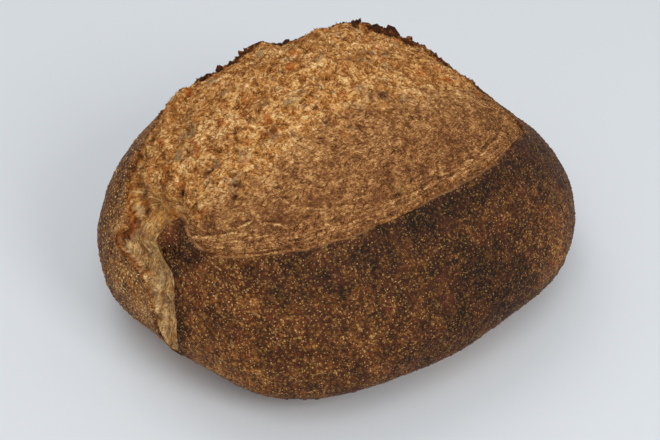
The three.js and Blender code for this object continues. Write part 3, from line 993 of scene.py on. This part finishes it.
def tear_border(side, sign, top, count):
    """Directions up one side of the tear, tucked under it."""
    polar = np.linspace(TIP_POLAR, top, count)
    return direction(polar, side(polar) + sign * TEAR_TUCK / per_degree(polar))


def crumb_columns(step):
    """Columns from the lip across to the ear, with the flow of the crumb along and across them."""
    tear_count, slash_count = int(TEAR_RUN / step), int(SLASH_RUN / step) + 1
    front = np.concatenate([tear_border(tear_right, 1, NOSE[0], tear_count),
                            rim_border(NOSE[1], RIGHT_END, slash_count)[1:]])
    back = np.concatenate([tear_border(tear_left, -1, TEAR_TOP[0], tear_count),
                           rim_border(TEAR_TOP[1] + 360, RIGHT_END, slash_count)[1:]])
    columns, flow = [], []
    for k, (near, far) in enumerate(zip(front, back)):
        angle = np.arccos(np.clip(near @ far, -1, 1))
        size = max(np.linalg.norm(form(near) - form(far)) * angle / (2 * np.sin(angle / 2) + 1e-9), 1)
        count = max(int(size / step), 2)
        share = np.linspace(0, 1, count)[:, None]
        way = np.sin((1 - share) * angle) * near + np.sin(share * angle) * far
        columns.append(way / np.linalg.norm(way, axis=-1, keepdims=True))
        flow.append(np.concatenate([share * 0 + k * step, share * size, share], -1))
    return columns, flow


def torn_share(at):
    """0 where the crumb was only stretched as the slash opened, 1 where it tore."""
    beyond = (at.point[..., 1] - torn_from(at.point[..., 0]) + 9 * swell(at.point, 14, 15)
              + 5 * swell(at.point, 5, 16))
    return np.maximum(smoothstep(beyond, -8, 11), at.in_tear)


def fine_crumb(at, rough, flow):
    """The crumb's own grain: torn bubbles behind, combed strings in front, long fibres down the
    tear. Also how deep in pits a place lies, where shade is painted in, and how high on a crag, where
    the crumb is painted lighter."""
    coarse, _ = grains(at.point, 4.4, 31)
    small, _ = grains(at.point, 1.9, 32)
    bubble = 1 - smoothstep(coarse, 0.1, 0.6)
    pore = 1 - smoothstep(small, 0.1, 0.55)
    bend = np.stack([swell(at.point, 7, 37), swell(at.point, 7, 38)], -1)

    def threads(length, width, turn, seed):
        """Ridges of a length and width that run with the flow, bent by so much."""
        drawn = (flow[:, :2] + turn * bend) / (length, width)
        return 1 - 2 * np.abs(swell(np.concatenate([drawn, 0 * drawn[:, :1]], -1), 1, seed))

    crag = 1 - 2.4 * np.abs(swell(at.point, 7, 39))
    ridge = 1 - 2 * np.abs(swell(at.point, 2.8, 33))
    torn = (0.8 * crag + 0.3 * ridge - 0.55 * bubble - 0.3 * pore + 0.5 * threads(4, 1.3, 6, 34)
            + 0.3 * swell(at.point, 1.3, 34))
    strings = 0.22 * threads(4.5, 1.5, 3, 35) + 0.14 * threads(2.2, 0.8, 5, 36) - 0.3 * pore * bubble
    fibres = 0.7 * threads(14, 2.4, 2, 40) + 0.3 * threads(6, 1.2, 2.5, 36) - 0.4 * bubble
    fine = lerp(lerp(strings, torn, rough), fibres, 0.8 * at.in_tear)
    # Where bubbles and pores dip, for the shade painted into them
    pit = lerp(0.6 * pore * bubble, np.maximum(bubble, 0.7 * pore), rough) * (1 - 0.8 * at.in_tear)
    return fine, pit, lerp(0.5, np.clip(0.5 + 0.3 * (torn + 0.2), 0, 1), rough)


def toasted_edge(at):
    """Where the crumb toasted: along the ear, down the tear's sides and at the left end."""
    return (at.ear * (0.5 * bell(at.slash, 3) + 0.34 * bell(at.slash - 6, 13)) + charring(at)
            + 0.75 * at.in_tear * bell(at.tear, 3.5)
            + 0.6 * bell(at.open, 9) * smoothstep(at.turn, 470, 490)
            + 0.6 * bell(at.open, 8) * (1 - smoothstep(at.turn, 166, 176)))


columns, flow = crumb_columns(CRUMB_STEP)
at = Place(np.concatenate(columns))
flow = np.concatenate(flow)
height, dark = crumb_height(at)
rough = torn_share(at)
crest, groove = ledge_lines(at)
fine, pit, high = fine_crumb(at, rough, flow)
fine = fine + (0.55 * crest - 0.6 * groove) * (1 - rough)
height = lerp(crust_height(at) - 1.4, height + fine * smoothstep(at.open, -0.5, 3),
              smoothstep(at.open, -1.5, 1.0))
points = at.moved(height)
across = np.concatenate([np.gradient(points[row], axis=0) for row in numbered(columns)])
along = np.cross(normal_of_form(at.way), across)
along /= np.maximum(np.linalg.norm(along, axis=-1, keepdims=True), 1e-9)
bare = smoothstep(at.open, 0.4, 2.0) * (1 - smoothstep(dark, 0.3, 0.7))
crumb = closed_skin("crumb", columns, points, crumb_columns(UNDERCRUMB_STEP)[0], CRUMB_THICKNESS,
                    rough=rough, pit=pit, hole=dark, high=high, crest=crest, groove=groove,
                    edge=toasted_edge(at), tear=at.in_tear, low=at.in_tear * smoothstep(at.polar, 54, 68),
                    streaky=1 - smoothstep(at.slash, 7, 17),
                    fresh=smoothstep(at.slash, 14, 44) + bell(at.turn - 204, 16),
                    torn=rough * bare, combed=(1 - rough) * bare, comb=flow, flow=along,
                    charred=charring(at) * smoothstep(at.open, 0, 1.5))


COMBED_PATCHES = [(0.006, 7, 5.0, -0.8, "62382a", 0.5), (0.011, 8, 5.0, -0.7, "dcaa62", 0.35)]
TORN_PATCHES = [(0.008, 2, 8.0, -0.7, "b0581c", 0.6), (0.009, 5, 8.0, -0.8, "9a8a66", 0.6),
                (0.006, 9, 9.0, -1.15, "5e3024", 0.7)]
TEAR_PATCHES = [(0.008, 2, 7.0, -0.35, "b0601e", 0.55), (0.007, 5, 6.0, -0.7, "968464", 0.7),
                (0.005, 9, 7.0, -1.1, "52301e", 0.75)]


def toast(finish):
    """The toasted rim of torn crumb: orange to dark red brown."""
    return finish.ramp({0.2: "b07030", 0.5: "824620", 0.8: "44220f"},
                       (finish.noise(0.0045, 3), 1.6), (finish.noise(0.0015), 0.9), 0.5)


def baked_crumb():
    finish = Finish("baked_crumb")
    rough, pit, hole, high, edge, streaky, tear, low, crest, groove, fresh = finish.marks(
        "rough pit hole high edge streaky tear low crest groove fresh")
    cloudy, patchy = finish.noise(0.016, 3), finish.noise(0.0045, 3)
    fine, grainy = finish.noise(0.0015), finish.noise(0.0008)
    comb = finish.node("ShaderNodeAttribute", {}, "Vector", attribute_name="comb")

    def drawn_out(size, shortening, curl):
        """Noise that the comb drew out."""
        drawn = finish.node("ShaderNodeVectorMath", {0: comb, 1: (shortening, 1, 0)}, operation="MULTIPLY")
        return finish.noise(size, 2, 0.6, drawn, curl)

    flecks, streaks = drawn_out(1.15, 0.6, 0.9), drawn_out(1.25, 0.1, 0.5)

    # Combed and smooth: short flecks, with long streaks along the lip, pale crests on its folds and painted
    # shade in the grooves beside them
    combed = finish.ramp({0.05: "dcae74", 0.3: "aa7846", 0.52: "7c4e2c", 0.85: "3e2414"},
                         (cloudy, 0.5), (patchy, 0.6), (fine, 0.7), (flecks, 1), (grainy, 0.5),
                         (finish.times(streaks, streaky), 1), (crest, -0.4), (groove, 0.3),
                         (fresh, -0.1), 0.49)
    combed = finish.patches(combed, *COMBED_PATCHES)

    # Torn open: cream ridges, toasted crags, grey patches, painted shade in the pits, high crags painted
    # lighter than the hollows, and fibres down the tear
    torn = finish.ramp({0.08: "f0ce96", 0.34: "d29c5a", 0.56: "a86a30", 0.85: "562e12"},
                       (cloudy, 0.6), (patchy, 0.8), (fine, 0.8), (grainy, 0.6), (flecks, 0.6),
                       (pit, 0.3), (high, -0.1), 0.42)
    torn = finish.patches(torn, *TORN_PATCHES)
    # High crags painted lighter in the fibres too, as painted light and shade of the relief
    heat = finish.sum((streaks, 1.5), (patchy, 1.1), (fine, 0.6), (high, -0.2), (low, -0.16), 0.62)
    fibres = finish.ramp({0.05: "e6c388", 0.35: "c08a46", 0.62: "905a28", 0.9: "46280f"}, (heat, 1))
    grey = finish.ramp({0.1: "c0ac8a", 0.45: "9c8460", 0.8: "6a4c2e"}, (heat, 1))
    fibres = finish.over(fibres, grey, (low, 0.5), (patchy, 2.5), -0.1)
    fibres = finish.patches(fibres, *TEAR_PATCHES)
    torn = finish.over(torn, fibres, (tear, 0.9))
    colour = finish.over(combed, torn, (rough, 1))
    # Painted shade in the holes, deepest where the holes are most shaded
    hole_shade_colour = finish.ramp({0.25: "94663e", 0.6: "704428", 1: "3e2212"}, (hole, 1), (fine, 0.7))
    colour = finish.over(colour, hole_shade_colour, (hole, 1.6), (fine, 1.4), (flecks, 0.8), -0.4)
    colour = finish.over(colour, toast(finish), (edge, 1.3), (patchy, 1.8), (fine, 0.6), -0.55)
    return finish.coat(colour, 0.85, 0.1, 0.0008, (fine, 1), (grainy, 0.7), (flecks, 0.6))


crumb.data.materials.append(baked_crumb())
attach(crumb, "root")
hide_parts("loaf")


# The strings of the stretched crumb: short slivers that the slash combed along the lip as it
# opened, paler than what they lie on.


def toasted(name, stops, dark, foot_shade, patches=()):
    """A matt finish for small torn bits: a ramp over each bit's own tone, with painted shade at its foot,
    and the same patches, painted shade in hollows and toasted rims as the crumb below."""
    finish = Finish(name)
    tone, top, hole, edge = finish.marks("tone top hole edge")
    patchy, fine = finish.noise(0.0045, 3), finish.noise(0.0012)
    colour = finish.ramp(stops, (tone, 0.8), (patchy, 1), (fine, 0.6), 0.08)
    colour = finish.patches(colour, *patches)
    # Painted shade where a bit lies in a shaded hollow of the crumb
    colour = finish.over(colour, "744628", (hole, 1.5), (fine, 1.4), (patchy, 0.8), -0.4)
    colour = finish.over(colour, toast(finish), (edge, 1.3), (patchy, 1.8), (fine, 0.6), -0.6)
    # Painted shade at each bit's foot, in the given colour; the last number makes it stronger and reach
    # higher
    colour = finish.over(colour, dark, (top, -0.7), (fine, 0.5), foot_shade)
    return finish.coat(colour, 0.85, 0.08)


sliver = {"Segments": 4, "Rings": 2, "Radius": 1}
toasted_strings = toasted("toasted_strings", {0: "e2b67c", 0.35: "b4844e", 0.65: "845630", 1: "4a2c1a"},
                          "4e301c", 0.2, COMBED_PATCHES)
strings = strewn("crumb_strings", (crumb,), "combed hole flow",
                 strewing("combing", "combed", "flow", "GeometryNodeMeshUVSphere", sliver, True, 11),
                 Spacing=0.00092, Smallest=(0.0008, 0.00016, 0.0002), Largest=(0.0022, 0.00032, 0.0004),
                 Swing=(0.15, 0.15, 1.1), Ragged=0.0009, Material=toasted_strings)
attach(strings, "root")
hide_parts("loaf")


# The crags of the torn crumb: ragged bits of crumb that stand up out of the tear and the rough
# part of the bloom, cream to amber, some toasted brown.

toasted_crags = toasted("toasted_crags", {0: "ecca94", 0.3: "d2a062", 0.6: "ae763e", 1: "6c4020"},
                        "7e5228", 0.12, TORN_PATCHES)
crags = strewn("crumb_crags", (crumb,), "torn hole edge flow",
               strewing("tearing", "torn", "flow", "GeometryNodeMeshUVSphere", sliver, True, 21),
               size=lambda mesh: 1 - 0.35 * mark_of(mesh, "tear"),
               Spacing=0.00084, Smallest=(0.0006, 0.00016, 0.0002), Largest=(0.0021, 0.0004, 0.00055),
               Swing=(0.6, 0.5, 1.3), Ragged=0.0014, Material=toasted_crags)
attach(crags, "root")
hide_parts("loaf")


# The charred crags of the ear: the torn edge of the crust stands up along the back of the slash and
# burnt black and brown at its tips.

TALL_CRAGS = [(383, 1.5), (390, 2), (396, 1.6), (404, 1.5), (440, 1.6), (467, 2), (475, 2.6)]


def crag_size(mesh):
    """The crags are tallest at a few places round the ear."""
    place = mark_of(mesh, "position")
    turn = turn_of(np.degrees(np.arctan2(place[:, 1], place[:, 0])))
    return 0.6 + np.max([tall * bell(turn - middle, 2.2) for middle, tall in TALL_CRAGS], axis=0)


chunk = {"Radius": 1, "Subdivisions": 1}
charred_crust = toasted("charred_crust", {0: "b87030", 0.3: "7e4520", 0.6: "4a2814", 1: "2a190f"},
                        "462612", 0.1)
char = strewn("charred_crags", (body, front, crumb), "charred",
              strewing("charring", "charred", None, "GeometryNodeMeshIcoSphere", chunk, False, 31),
              size=crag_size,
              Spacing=0.001, Smallest=(0.0006, 0.0005, 0.0006), Largest=(0.0014, 0.0012, 0.0019),
              Swing=(0.6, 0.6, 3.14), Ragged=0.0016, Material=charred_crust)
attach(char, "root")
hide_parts("loaf")
